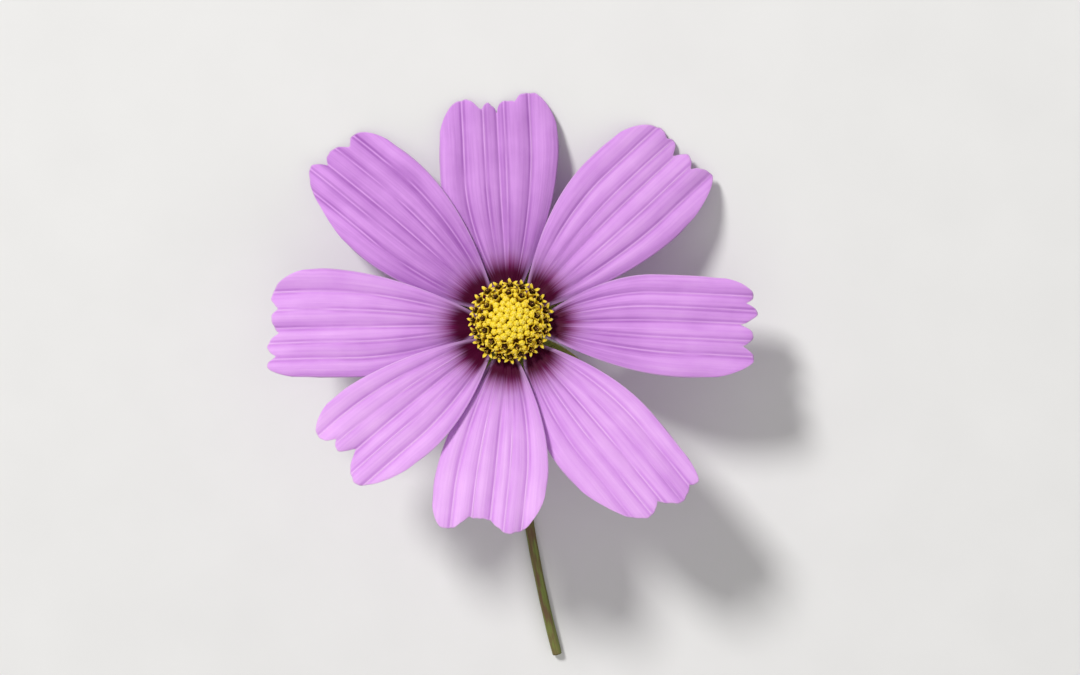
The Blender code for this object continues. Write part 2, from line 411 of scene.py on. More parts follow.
@dataclass(frozen=True)
class GreenFinish(Finish):
    """Stem or receptacle skin: green, streaked along its length, with a colour over the top: a purple flush
    on the stem, and painted shade between the florets on the receptacle.
    """

    title: str = "green_skin"
    body: tuple = paint(132, 142, 74)
    dark: tuple = paint(92, 104, 50)
    flush_and_gap_shade: tuple = paint(112, 70, 66)
    flush_and_gap_shade_share: float = 0.7
    streaks: float = 3.0
    relief: float = 0.05

    def surface(self, bench: Bench) -> Wire:
        """Build the skin's shader.

        Args:
            bench: The material's bench.

        Returns:
            The shader.
        """
        around, along, up = bench.parts("skin")
        cosine, sine = around.cosine(), around.sine()
        streak = bench.noise(bench.vector(cosine * self.streaks, sine * self.streaks, along * 0.07))
        patch = bench.noise(bench.vector(cosine, sine, along * 0.3))
        colour = bench.mix(((streak - 0.3) * 1.9).clamped(), self.body, self.dark)
        # On the stem the top colour is a purple flush; on the receptacle it is painted shade over its top,
        # between the florets.
        tint = (up.ramp(-0.3, 0.9) * patch.ramp(0.35, 0.65) * self.flush_and_gap_shade_share).clamped()
        colour = bench.mix(tint, colour, self.flush_and_gap_shade)
        return tissue(bench, colour, 0.42 + patch * 0.15, streak * 0.7 + patch * 0.3, self.relief, 0.0)


@dataclass(frozen=True)
class GoldFinish(Finish):
    """Disc tissue: yellow above and cream at the tips, with painted shade making it orange-brown below and
    darker along seams and inside; on the buds the cream crown is a painted highlight.
    """

    title: str = "gold"
    top: tuple = paint(252, 224, 66)
    low: tuple = paint(206, 156, 28)
    cream: tuple = paint(252, 236, 172)
    inner: tuple = paint(104, 64, 12)
    low_at: float = -0.9
    top_at: float = -0.05
    cream_at: float = 0.16
    cream_share: float = 0.7
    seam_depth: float = 0.5
    mottle: float = 0.5
    relief: float = 0.03
    glow: float = 0.2

    def surface(self, bench: Bench) -> Wire:
        """Build the shader from the height over each floret's own origin.

        Args:
            bench: The material's bench.

        Returns:
            The shader.
        """
        height, shade, seam = (bench.attribute(name) for name in ("height", "shade", "seam"))
        place = bench.object_place()
        grain = bench.noise(place, 2200.0)
        patch = bench.noise(place, 700.0, 2.0)
        rough = (grain + patch - 1.0) * self.mottle
        # Orange-brown lower down, yellow higher up: painted shade in the gaps between the florets and buds.
        colour = bench.mix((height + rough).ramp(self.low_at, self.top_at), self.low, self.top)
        # The seams take the same colour: painted shade in the creases.
        colour = bench.mix((seam * self.seam_depth).clamped(), colour, self.low)
        # Cream tips: the lobes' own colour on open florets; on the buds the cream crown is a painted
        # highlight.
        tip = (height + (grain - 0.5) * 0.15).ramp(self.cream_at, self.cream_at + 0.1)
        colour = bench.mix(tip * self.cream_share, colour, self.cream)
        colour = bench.mix(shade.ramp(0.1, 0.7), colour, self.inner)
        return tissue(bench, colour, 0.5 + (grain - 0.5) * 0.3, grain, self.relief, self.glow)


@dataclass(frozen=True)
class PlainTissue(Finish):
    """A small dark or dusty part of the disc, mottled between two colours."""

    title: str = "tissue"
    first: tuple = paint(78, 46, 16)
    second: tuple = paint(40, 20, 8)
    scale: float = 3000.0
    roughness: float = 0.5
    relief: float = 0.03

    def surface(self, bench: Bench) -> Wire:
        """Build the shader.

        Args:
            bench: The material's bench.

        Returns:
            The shader.
        """
        grain = bench.noise(bench.object_place(), self.scale)
        colour = bench.mix(grain.ramp(0.35, 0.65), self.first, self.second)
        return tissue(bench, colour, self.roughness + (grain - 0.5) * 0.2, grain, self.relief, 0.0)


@dataclass(frozen=True)
class CutFinish(Finish):
    """The cut end of the stem: pale pith inside a green, fibrous ring."""

    title: str = "cut_end"
    pith: tuple = paint(206, 208, 150)
    ring: tuple = paint(120, 138, 66)
    ring_from: float = 0.55
    ring_full: float = 0.85
    scale: float = 5200.0
    relief: float = 0.05

    def surface(self, bench: Bench) -> Wire:
        """Build the shader from the share of the way to the rim.

        Args:
            bench: The material's bench.

        Returns:
            The shader.
        """
        grain = bench.noise(bench.object_place(), self.scale)
        share = (bench.attribute("height") + (grain - 0.5) * 0.25).ramp(self.ring_from, self.ring_full)
        colour = bench.mix(share, self.pith, self.ring)
        return tissue(bench, colour, 0.55, grain, self.relief, 0.0)


@dataclass(frozen=True)
class FloorFinish(Finish):
    """A plain pale matt surface with the faintest grain."""

    title: str = "pale_floor"
    light: tuple = paint(230, 229, 227)
    shade: tuple = paint(223, 222, 220)
    scale: float = 60.0
    roughness: float = 0.85

    def surface(self, bench: Bench) -> Wire:
        """Build the shader.

        Args:
            bench: The material's bench.

        Returns:
            The shader.
        """
        colour = bench.mix(bench.noise(bench.object_place(), self.scale), self.light, self.shade)
        return bench.node("ShaderNodeBsdfPrincipled", {"Base Color": colour, "Roughness": self.roughness})


PETAL_FACE = PetalFinish()
PETAL_BACK = PetalFinish(title="petal_back", pale=paint(232, 196, 242), mauve=paint(206, 160, 222),
                         deep=paint(170, 116, 192), blotch=0.35)
INNER_BRACT = BractFinish("inner_bract", paint(160, 150, 92), paint(120, 100, 62), paint(222, 208, 166),
                          margin_width=0.5)
# The outer bracts' colours are lighter than their own green: painted light where the petals shade them.
OUTER_BRACT = BractFinish("outer_bract", paint(190, 212, 104), paint(146, 172, 72), paint(214, 220, 148),
                          margin_width=0.16)
STEM_SKIN = GreenFinish("stem_skin")
# On the receptacle the top colour is painted shade between the florets.
CUP_SKIN = GreenFinish("receptacle_skin", paint(124, 138, 58), paint(86, 104, 40), paint(168, 120, 30),
                       flush_and_gap_shade_share=3.0, streaks=6.0)
COROLLA = GoldFinish("corolla_gold")
# The buds' darker sides are painted shade between them, and their cream crowns are a painted highlight.
BUD_GOLD = GoldFinish("bud_gold", paint(255, 230, 64), paint(214, 164, 30), low_at=-0.9, top_at=-0.1,
                      cream_at=0.05, seam_depth=0.45)
ANTHER = PlainTissue("anther_brown")
POLLEN = PlainTissue("pollen_dust", paint(250, 214, 96), paint(236, 176, 60), scale=5000.0, roughness=0.7)


# --------------------------------------------------------------- mesh making


@dataclass
class Sheet:
    """A grid of points with attributes, to be made into a mesh.

    Args:
        points: Rows by columns by 3, in millimetres.
        closed: Whether each row is a ring.
        attributes: Values for each point, by name; 3 for a vector and 1 for a number.
    """

    points: np.ndarray
    closed: bool = False
    attributes: dict[str, np.ndarray] = field(default_factory=dict)

    def faces(self) -> list[tuple[int, int, int, int]]:
        """List the quads, row by row.

        Returns:
            The corners of each quad.
        """
        rows, columns = self.points.shape[:2]
        spans = columns if self.closed else columns - 1
        quads = []
        for row in range(rows - 1):
            for column in range(spans):
                beyond = (column + 1) % columns
                here, above = row * columns, (row + 1) * columns
                quads.append((here + column, here + beyond, above + beyond, above + column))
        return quads


def make_piece(name: str, sheet: Sheet, place: Matrix, finishes: Sequence[Finish],
               caps: bool = False) -> bpy.types.Object:
    """Make a smooth mesh object from a sheet.

    Args:
        name: The piece's name.
        sheet: Its points.
        place: From the sheet's own space to the world, in metres.
        finishes: Its materials.
        caps: Whether the first and last rings are closed by a face.

    Returns:
        The object, at the origin.
    """
    rows, columns = sheet.points.shape[:2]
    faces: list[tuple[int, ...]] = list(sheet.faces())
    if caps:
        faces.append(tuple(reversed(range(columns))))
        faces.append(tuple(range((rows - 1) * columns, rows * columns)))
    mesh = bpy.data.meshes.new(name)
    mesh.from_pydata((sheet.points.reshape(-1, 3) * MM).tolist(), [], faces)
    for title, values in sheet.attributes.items():
        flat = np.ascontiguousarray(values, dtype=np.float32).reshape(rows * columns, -1)
        if flat.shape[1] == 3:
            mesh.attributes.new(title, "FLOAT_VECTOR", "POINT").data.foreach_set("vector", flat.ravel())
        else:
            mesh.attributes.new(title, "FLOAT", "POINT").data.foreach_set("value", flat.ravel())
    mesh.transform(place)
    mesh.polygons.foreach_set("use_smooth", [True] * len(mesh.polygons))
    for finish in finishes:
        mesh.materials.append(finish.material())
    piece = bpy.data.objects.new(name, mesh)
    bpy.context.scene.collection.objects.link(piece)
    return piece


def frozen(piece: bpy.types.Object) -> bpy.types.Object:
    """Turn a piece's modifiers into plain mesh.

    Args:
        piece: The object, with modifiers.

    Returns:
        The same object, with none.
    """
    graph = bpy.context.evaluated_depsgraph_get()
    mesh = bpy.data.meshes.new_from_object(piece.evaluated_get(graph), depsgraph=graph)
    mesh.name = piece.name
    piece.modifiers.clear()
    piece.data = mesh
    return piece


def seat(piece: bpy.types.Object, slot: str, *nodes: str) -> bpy.types.Object:
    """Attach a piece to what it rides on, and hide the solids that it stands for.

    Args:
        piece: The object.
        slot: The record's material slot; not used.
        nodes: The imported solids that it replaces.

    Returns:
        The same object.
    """
    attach(piece, BODY)
    if nodes:
        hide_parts(*nodes)
    LOG.info("%s: %d faces for %s", piece.name, len(piece.data.polygons), ", ".join(nodes) or "no solid")
    return piece


def smooth(value: np.ndarray | float, start: float, end: float) -> np.ndarray:
    """0 before start, 1 after end, and a smooth change between.

    Args:
        value: What is tested.
        start: Where the change begins.
        end: Where it is complete.

    Returns:
        The share of the change.
    """
    share = np.clip((np.asarray(value, dtype=float) - start) / (end - start), 0.0, 1.0)
    return share * share * (3.0 - 2.0 * share)


# ---------------------------------------------------------------------- head


@dataclass(frozen=True)
class Head:
    """Where the head is and which way it faces.

    Args:
        tilt: How far the face leans from straight up towards +Y, in degrees.
        crown: How high the receptacle's top stands over the petals' plane.
    """

    tilt: float = 22.0
    crown: float = 0.25

    @property
    def facing(self) -> Vector:
        """The way the face looks."""
        angle = math.radians(self.tilt)
        return Vector((0.0, math.sin(angle), math.cos(angle)))

    @property
    def centre(self) -> Vector:
        """The middle of the petals' plane, in metres, from the receptacle's highest point."""
        corners = [vertex.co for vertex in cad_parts["receptacle"].data.vertices]
        crown = max(corners, key=self.facing.dot)
        return Vector(crown) - self.facing * self.crown * MM

    def place(self, turn: float = 0.0) -> Matrix:
        """From the head's own space, turned about the way it faces, to the world.

        Args:
            turn: Degrees counter-clockwise, seen from in front.

        Returns:
            The matrix, in metres.
        """
        lean = Matrix.Rotation(-math.radians(self.tilt), 4, "X")
        return Matrix.Translation(self.centre) @ lean @ Matrix.Rotation(math.radians(turn), 4, "Z")


# -------------------------------------------------------------------- petals


@dataclass(frozen=True)
class Side:
    """One side of a petal.

    Args:
        width: From the axis to the edge.
        broad_at: The distance from the flower's centre where it is widest.
        corner: How far its corner falls back from the tip.
        lift: How much its edge stands above or below its neighbour's.
        turn: How the corner turns, 1 for a parabola and less for a fuller curve.
    """

    width: float
    broad_at: float
    corner: float
    lift: float
    turn: float = 0.64


@dataclass(frozen=True)
class Tooth:
    """One tooth of a petal's tip.

    Args:
        place: Left of the axis.
        reach: From the flower's centre.
        sharpness: How fast it falls away.
    """

    place: float
    reach: float
    sharpness: float


@dataclass(frozen=True)
class Nick:
    """A sharp cut in a petal's tip.

    Args:
        place: Left of the axis.
        depth: How deep it is.
        width: How fast it closes to either side.
    """

    place: float
    depth: float
    width: float = 0.35


FAR = 9.0  # given as the distance to the next vein where there is none


@dataclass(frozen=True)
class Petal:
    """One ray petal: a thin blade, pleated into panels that meet in crisp veins.

    Args:
        number: Which petal it is, counted counter-clockwise from the right.
        angle: Where it points, in degrees round the head.
        rise: How much higher its tip lies than its root.
        arch: How far it bows upwards on the way.
        left: Its left side, seen from the centre.
        right: Its right side.
        teeth: The teeth of its tip, from left to right.
        veins: Where its panels meet, as shares of the way from the axis to the left (+) or right (-) edge.
        nicks: The sharp cuts in its tip.
        tone: How much deeper its colour is than the others': painted shade on the petals towards +Y and
            painted light on those towards -Y.
    """

    number: int
    angle: float
    rise: float
    arch: float
    left: Side
    right: Side
    teeth: tuple[Tooth, ...]
    veins: tuple[float, ...]
    nicks: tuple[Nick, ...] = ()
    tone: float = 0.0
    root: float = 4.9
    heel: float = 0.55
    heel_drop: float = 0.34
    claw: float = 0.17
    claw_end: float = 7.5
    flare: float = 1.85
    root_lift: float = -0.16
    thickness: float = 0.17
    rim_thickness: float = 0.3
    rim_width: float = 0.9
    rows: int = 120
    row_spread: float = 0.92
    panel_columns: int = 14
    panel_bulge: float = 0.115
    crease: float = 0.26
    shoulder: float = 0.19
    shoulder_length: float = 2.8
    fringe: float = 0.09
    ruffle: float = 0.3

    def reach(self, across: np.ndarray) -> np.ndarray:
        """Find the tip's distance from the centre.

        Args:
            across: Distances left of the axis.

        Returns:
            The distance at each.
        """
        first, last = self.teeth[0], self.teeth[-1]
        tip = np.max([tooth.reach - tooth.sharpness * (across - tooth.place) ** 2
                      for tooth in self.teeth], axis=0)
        for tooth, side, way in ((first, self.left, 1.0), (last, self.right, -1.0)):
            share = np.clip((across - tooth.place) / (way * side.width - tooth.place), 0.0, 1.0)
            fall = side.corner * (1.0 - (1.0 - share ** 2) ** side.turn)
            tip = np.where(share > 0.0, tooth.reach - fall, tip)
        calm = 1.0 - smooth(np.abs(across), 5.0, 8.5)
        tip = tip + self.fringe * calm * (np.sin(across * 2.3 + self.number)
                                          + 0.5 * np.sin(across * 5.1 + self.number * 2.0))
        for nick in self.nicks:
            tip = tip - nick.depth * np.exp(-np.abs(across - nick.place) / nick.width)
        return tip

    def width(self, side: Side, radius: np.ndarray) -> np.ndarray:
        """Find a side's width.

        Args:
            side: The side.
            radius: Distances from the centre.

        Returns:
            The distance from the axis to its edge at each.
        """
        share = np.clip((radius - self.root) / (side.broad_at - self.root), 0.0, 1.0)
        return side.width * (self.claw + (1.0 - self.claw) * (1.0 - (1.0 - share) ** self.flare))

    def panels(self) -> tuple[np.ndarray, np.ndarray, np.ndarray, np.ndarray]:
        """Lay out the columns so that each vein falls on one.

        Returns:
            Each column's share, its place within its panel, that panel's width as a share, and how
            far the creases on its two sides lift it.
        """
        chance = np.random.default_rng(70 + self.number)
        bounds = np.array((1.0, *self.veins, -1.0))
        creases = chance.uniform(0.3, 1.0, len(bounds)) * (-1.0) ** np.arange(len(bounds)) * self.crease
        creases[[0, -1]] *= 0.3
        steps = np.arange((len(bounds) - 1) * self.panel_columns + 1) / self.panel_columns
        panel = np.minimum(steps.astype(int), len(bounds) - 2)
        place = steps - panel
        share = np.interp(steps, range(len(bounds)), bounds)
        return share, place, (bounds[:-1] - bounds[1:])[panel], np.interp(steps, range(len(bounds)), creases)

    def outline(self, along: np.ndarray, share: np.ndarray) -> tuple[np.ndarray, ...]:
        """Find where the blade's points stand, seen from in front.

        Args:
            along: Each point's way from the heel to its column's tip.
            share: Each point's way from the axis to the left (+) or right (-) edge.

        Returns:
            The distance from the centre, the distance left of the axis, the width of that side and
            the tip of that column.
        """
        left = share > 0.0
        tip = self.reach(share * np.where(left, self.left.width, self.right.width))
        start = self.root - self.heel
        radius = start + along * (tip - start)
        wide = np.where(left, self.width(self.left, radius), self.width(self.right, radius))
        corner = np.where(left, self.teeth[0].reach - self.left.corner,
                          self.teeth[-1].reach - self.right.corner)
        near = np.clip(1.0 - np.abs(radius - corner) / self.shoulder_length, 0.0, 1.0)
        return radius, share * (wide - self.shoulder * near ** 2 * share ** 4), wide, tip

    def height(self, radius: np.ndarray, share: np.ndarray, pleat: np.ndarray) -> np.ndarray:
        """Find how high the blade lies over the petals' plane.

        Args:
            radius: Distances from the centre.
            share: Each point's way from the axis to the left (+) or right (-) edge.
            pleat: How far the pleats lift each point where they are full.

        Returns:
            The height at each.
        """
        way = (radius - self.root) / (max(tooth.reach for tooth in self.teeth) - self.root)
        sides = np.where(share > 0.0, self.left.lift, self.right.lift) * share ** 2
        height = self.root_lift + self.rise * way + self.arch * 4.0 * way * (1.0 - way)
        height = height + sides * smooth(radius, self.root, self.claw_end)

        edge = np.abs(share)
        flat_edge = smooth(edge, 0.75, 1.0) * (1.0 - smooth(radius, 18.0, 26.0)) * 0.9
        height = height + pleat * (0.35 + 0.65 * smooth(radius, 7.0, 16.0)) * (1.0 - flat_edge)
        tip_wave = np.sin(share * 7.0 + self.number * 1.7) * smooth(way, 0.75, 1.0)
        edge_wave = np.sin(way * 11.0 + self.number * 2.3) * smooth(edge, 0.55, 1.0)
        height = height + self.ruffle * (tip_wave + 0.5 * edge_wave * smooth(radius, 20.0, 30.0))
        return height - self.heel_drop * (1.0 - smooth(radius, self.root - self.heel, self.root + 0.3))

    def sheet(self) -> Sheet:
        """Lay out the blade along +X, its left side towards +Y.

        Returns:
            The points and what the finish needs at each.
        """
        share, place, panel, crease = (np.repeat(part[None, :], self.rows, 0) for part in self.panels())
        along = np.linspace(0.0, 1.0, self.rows) ** self.row_spread
        radius, across, wide, tip = self.outline(np.repeat(along[:, None], share.shape[1], 1), share)
        dome = 4.0 * place * (1.0 - place)
        height = self.height(radius, share, self.panel_bulge * panel * wide * dome + crease)

        vein = np.minimum(np.minimum(place, 1.0 - place) * panel * wide, FAR)
        vein = np.where(np.abs(share) > 1.0 - panel / 2.0, FAR, vein)
        inside = np.minimum(wide * (1.0 - np.abs(share)), np.maximum(tip - radius, 0.0))
        return Sheet(np.stack([radius, across, height], axis=-1), False, {
            "blade": np.stack([share, radius, inside], axis=-1), "vein": vein, "dome": dome,
            "seed": np.full_like(share, self.number * 5.3), "tone": np.full_like(share, self.tone),
        })

    def build(self, head: Head) -> bpy.types.Object:
        """Make the petal in place of its solid.

        Args:
            head: Where the head is.

        Returns:
            The finished piece.
        """
        sheet = self.sheet()
        piece = make_piece(f"petal_blade_{self.number}", sheet, head.place(self.angle),
                           (PETAL_FACE, PETAL_BACK))
        inside = sheet.attributes["blade"][..., 2].ravel()
        group = piece.vertex_groups.new(name="full_thickness")
        for index, weight in enumerate(smooth(inside, 0.0, self.rim_width)):
            group.add([index], float(weight), "REPLACE")
        wall = piece.modifiers.new("thickness", "SOLIDIFY")
        wall.thickness = self.thickness * MM
        wall.offset = 0.0
        wall.vertex_group = group.name
        wall.thickness_vertex_group = self.rim_thickness
        wall.material_offset = 1
        return seat(frozen(piece), "petal", f"ray_petal_{self.number}")


LIFT = 0.55
# Each petal's tone is painted light: deeper for the petals towards +Y as painted shade, and paler for those
# towards -Y as painted light.
PETALS = (
    Petal(1, -2, 1.5, 1.6, Side(8.1, 22, 6.0, LIFT), Side(7.9, 27, 8.0, 0.0),
          (Tooth(5.3, 37.7, 0.8), Tooth(2.7, 38.4, 0.7), Tooth(-1.0, 37.9, 0.7), Tooth(-4.2, 38.1, 0.8)),
          (0.66, 0.38, 0.12, -0.22, -0.52), tone=0.10),
    Petal(2, 45, -1.43, 2.4, Side(9.7, 27, 7.0, LIFT), Side(8.7, 29, 9.0, -LIFT, 0.8),
          (Tooth(5.0, 39.2, 0.2), Tooth(2.8, 39.3, 0.6), Tooth(-0.8, 39.2, 0.5), Tooth(-5.0, 39.8, 0.35)),
          (0.62, 0.30, 0.08, -0.24, -0.60), tone=0.04),
    Petal(3, 93, 1.36, 0.8, Side(9.8, 23, 6.8, -LIFT), Side(9.2, 30, 7.0, -LIFT),
          (Tooth(5.8, 36.1, 0.22), Tooth(1.8, 35.3, 1.1), Tooth(-1.9, 35.6, 0.06), Tooth(-4.8, 36.7, 0.2)),
          (0.60, 0.26, 0.04, -0.08, -0.52), (Nick(0.45, 1.9, 0.25), Nick(-2.6, 0.4, 0.3)), tone=0.18),
    Petal(4, 139, -1.86, 2.4, Side(7.4, 25, 13.0, -LIFT, 0.88), Side(9.8, 29, 6.5, LIFT),
          (Tooth(1.2, 40.6, 0.7), Tooth(-2.4, 40.1, 0.35), Tooth(-6.4, 38.9, 0.4)),
          (0.58, 0.24, -0.06, -0.34, -0.68), tone=0.22),
    Petal(5, 181, 2.0, 1.5, Side(8.3, 24, 6.0, -LIFT), Side(8.8, 31, 6.5, LIFT),
          (Tooth(6.3, 37.7, 0.6), Tooth(3.2, 37.7, 0.5), Tooth(-0.8, 37.0, 0.3), Tooth(-4.4, 37.0, 0.3)),
          (0.64, 0.34, 0.06, -0.26, -0.60), tone=-0.02),
    Petal(6, 222, 4.5, 1.4, Side(7.3, 23, 9.0, LIFT, 0.8), Side(9.1, 31, 6.0, LIFT),
          (Tooth(3.0, 34.6, 0.25), Tooth(-2.6, 33.3, 0.7), Tooth(-5.9, 34.1, 0.4)),
          (0.60, 0.24, -0.06, -0.36, -0.66), tone=-0.10),
    Petal(7, 264, 3.5, 1.2, Side(8.5, 25, 7.5, LIFT), Side(9.0, 28, 5.0, -LIFT),
          (Tooth(3.4, 33.0, 0.2), Tooth(-1.0, 31.2, 0.06), Tooth(-6.6, 33.2, 0.16)),
          (0.62, 0.30, 0.04, -0.28, -0.62), tone=-0.14),
    Petal(8, 309, 2.5, 1.0, Side(8.0, 25, 6.5, 0.0), Side(8.4, 23, 11.0, -LIFT, 0.8),
          (Tooth(6.6, 37.8, 0.5), Tooth(3.1, 38.5, 0.25), Tooth(-1.9, 37.2, 0.4)),
          (0.66, 0.36, 0.06, -0.24, -0.56), tone=-0.08),
)


# -------------------------------------------------------------------- bracts


@dataclass(frozen=True)
class Bract:
    """A kind of bract behind the petals: a pointed, hollowed blade.

    Args:
        title: What its pieces are called.
        slot: The record's material slot, which is also how its solids' names begin.
        finish: Its finish.
        root: Where it begins, from the head's axis.
        root_height: How high that is over the petals' plane.
        tip: Where it ends, from the head's axis.
        tip_height: How high that is.
        bow: How far it bows upwards on the way.
        half_width: From its middle to its edge, where it is widest.
    """

    title: str
    slot: str
    finish: Finish
    root: float
    root_height: float
    tip: float
    tip_height: float
    bow: float
    half_width: float
    heel: float = 0.55
    curl: float = 0.25
    thickness: float = 0.2
    keel: float = 0.09
    keel_width: float = 0.16
    wave: float = 0.15
    point: float = 0.03
    rows: int = 40
    columns: int = 17

    def build(self, head: Head, number: int, angle: float) -> bpy.types.Object:
        """Make one bract in place of its solid.

        Args:
            head: Where the head is.
            number: Which one of its kind.
            angle: Degrees round the head.

        Returns:
            The finished piece.
        """
        chance = np.random.default_rng(900 + number + len(self.title))
        length = self.tip - self.root
        rows = np.linspace(-self.heel / length, 1.0, self.rows)
        along, share = np.meshgrid(rows, np.linspace(1.0, -1.0, self.columns), indexing="ij")
        taper = np.maximum((1.0 - along ** 2) * (0.6 + along), self.point)
        wide = self.half_width * taper
        radius = self.root + along * length
        height = self.root_height + along * (self.tip_height - self.root_height)
        height += self.bow * 4.0 * along * (1.0 - along) + self.curl * (share * taper) ** 2
        height -= self.keel * np.exp(-(share / self.keel_width) ** 2) * taper
        twist = chance.uniform(-self.wave, self.wave)
        height += twist * smooth(along, 0.5, 1.0) * np.sin(share + along * 5.0)
        inside = np.minimum(wide * (1.0 - np.abs(share)), (1.0 - along) * length)
        sheet = Sheet(np.stack([radius, share * wide, height], axis=-1), False, {
            "blade": np.stack([share, radius, inside], axis=-1),
            "seed": np.full_like(share, number * 3.1),
        })
        piece = make_piece(f"{self.title}_blade_{number}", sheet, head.place(angle), (self.finish,))
        wall = piece.modifiers.new("thickness", "SOLIDIFY")
        wall.thickness = self.thickness * MM
        wall.offset = 0.0
        return seat(frozen(piece), self.slot, f"{self.slot}_{number}")


INNER = Bract("inner", "inner_bract", INNER_BRACT, 4.1, -3.0, 10.0, -1.5, 0.75, 1.85)
OUTER = Bract("outer", "outer_bract", OUTER_BRACT, 2.85, -4.35, 13.5, -4.6, 0.5, 1.25)


# --------------------------------------------------------------- receptacle


@dataclass(frozen=True)
class Receptacle:
    """The ribbed green cup behind the petals."""

    profile: tuple = ((0.02, 0.25), (2.2, 0.1), (3.8, -0.2), (4.9, -0.55), (5.05, -0.85), (4.7, -1.5),
                      (4.0, -2.5), (3.0, -3.5), (2.1, -4.4), (1.5, -5.2), (0.02, -5.2))
    columns: int = 128
    steps: int = 8
    rounding: int = 3
    ribs: int = 16
    rib_depth: float = 0.035
    rib_crest: float = 0.01
    rib_top: float = -0.9

    def build(self, head: Head) -> bpy.types.Object:
        """Make the cup in place of its solid.

        Args:
            head: Where the head is.

        Returns:
            The finished piece.
        """
        corners = np.array(self.profile[::-1])
        steps = np.linspace(0, len(corners) - 1, (len(corners) - 1) * self.steps + 1)
        line = np.stack([np.interp(steps, range(len(corners)), part) for part in corners.T], axis=-1)
        for _ in range(self.rounding):
            line[1:-1] = (line[:-2] + 2.0 * line[1:-1] + line[2:]) / 4.0
        wide, high = line[:, :1], np.repeat(line[:, 1:], self.columns, 1)
        turn = np.linspace(0.0, 2.0 * np.pi, self.columns, endpoint=False)
        ribs = self.rib_depth * np.cos(self.ribs * turn) * smooth(wide, 1.6, 4.0) * (high < self.rib_top)
        radius = wide * (1.0 + np.minimum(ribs, self.rib_crest))
        points = np.stack([radius * np.cos(turn), radius * np.sin(turn), high], axis=-1)
        around = np.broadcast_to(turn, high.shape)
        sheet = Sheet(points, True, {"skin": np.stack([around, high, smooth(high, -0.7, -0.3)], axis=-1)})
        piece = make_piece("receptacle_cup", sheet, head.place(), (CUP_SKIN,), caps=True)
        return seat(piece, "receptacle", "receptacle")


# ---------------------------------------------------------------------- stem


@dataclass(frozen=True)
class Stem:
    """The cut stem: it leaves the receptacle, bends down and lies along the ground."""

    radius: float = 0.85
    collar: float = 1.3
    collar_length: float = 4.0
    start: float = 5.65
    heel: float = 0.6
    length: float = 59.0
    sway: float = 7.5
    rest_height: float = 0.815
    widest: float = 1.36
    slimness: float = 0.925
    ridges: int = 9
    ridge_height: float = 0.045
    cut_rings: int = 7
    cut_dome: float = 0.1
    cut_share: float = 0.93
    cut_gap: float = 0.02
    rows: int = 220
    columns: int = 54

    def path(self, head: Head) -> np.ndarray:
        """Follow the stem's middle.

        Args:
            head: Where the head is.

        Returns:
            Points down the stem, in millimetres.
        """
        start = (head.centre / MM) - head.facing * self.start
        heel = start + head.facing * self.heel
        bend = math.pi / 2.0 - math.radians(head.tilt)
        bend_radius = (start.z - self.rest_height) / (1.0 - math.cos(bend))
        length = np.linspace(0.0, self.length, self.rows)
        turned = np.minimum(length, bend_radius * bend) / bend_radius
        forward = bend_radius * (math.sin(bend) - np.sin(bend - turned))
        forward += np.maximum(length - bend_radius * bend, 0.0)
        drop = bend_radius * (np.cos(bend - turned) - math.cos(bend))
        sway = self.sway * (length / self.length) ** 2
        path = np.stack([start.x + sway, start.y - forward, start.z - drop], axis=-1)
        path[0] = heel
        return path

    def build(self, head: Head) -> list[bpy.types.Object]:
        """Make the stem and its cut end in place of the solid.

        Args:
            head: Where the head is.

        Returns:
            The finished pieces.
        """
        path = self.path(head)
        length = np.linspace(0.0, self.length, self.rows)
        ahead = np.gradient(path, axis=0)
        ahead /= np.linalg.norm(ahead, axis=1)[:, None]
        side = np.cross(ahead, (0.0, 0.35, 1.0))
        side /= np.linalg.norm(side, axis=1)[:, None]
        over = np.cross(side, ahead)
        turn = np.linspace(0.0, 2.0 * np.pi, self.columns, endpoint=False)
        wide = self.radius + (self.collar - self.radius) * (1.0 - smooth(length, 0.0, self.collar_length))
        wide = wide * (1.0 + 0.02 * np.sin(length * 0.37) + 0.012 * np.sin(length * 0.91 + 1.0))
        ridge = 1.0 - self.ridge_height * (1.0 - np.abs(np.cos(self.ridges * turn / 2.0))) ** 1.5
        radius = np.minimum(wide[:, None], self.widest) * ridge[None, :] * self.slimness
        cosine, sine = np.cos(turn), np.sin(turn)
        points = path[:, None, :] + radius[..., None] * (
            cosine[None, :, None] * side[:, None, :] + sine[None, :, None] * over[:, None, :])
        skin = np.stack(np.broadcast_arrays(turn, length[:, None], sine), axis=-1)
        sheet = Sheet(points[:, ::-1], True, {"skin": skin[:, ::-1]})
        tube = make_piece("stem_skin", sheet, Matrix.Identity(4), (STEM_SKIN,), caps=True)
        share = np.linspace(1.0, 0.02, self.cut_rings)[:, None, None]
        dome = path[-1] + ahead[-1] * (self.cut_gap + self.cut_dome * (1.0 - share ** 2)) \
            + (points[-1] - path[-1]) * share * self.cut_share
        cut = Sheet(dome[:, ::-1], True, {"height": np.repeat(share[..., 0], self.columns, 1)})
        end = make_piece("stem_cut_end", cut, Matrix.Identity(4), (CutFinish(),), caps=True)
        return [seat(tube, "stem", "stem"), seat(end, "stem")]


# ---------------------------------------------------------------------- disc


@dataclass(frozen=True)
class Spot:
    """Where one small shape stands: its tip, its axis, its size and its own turn."""

    tip: tuple[float, float, float]
    axis: tuple[float, float, float]
    size: float
    spin: float


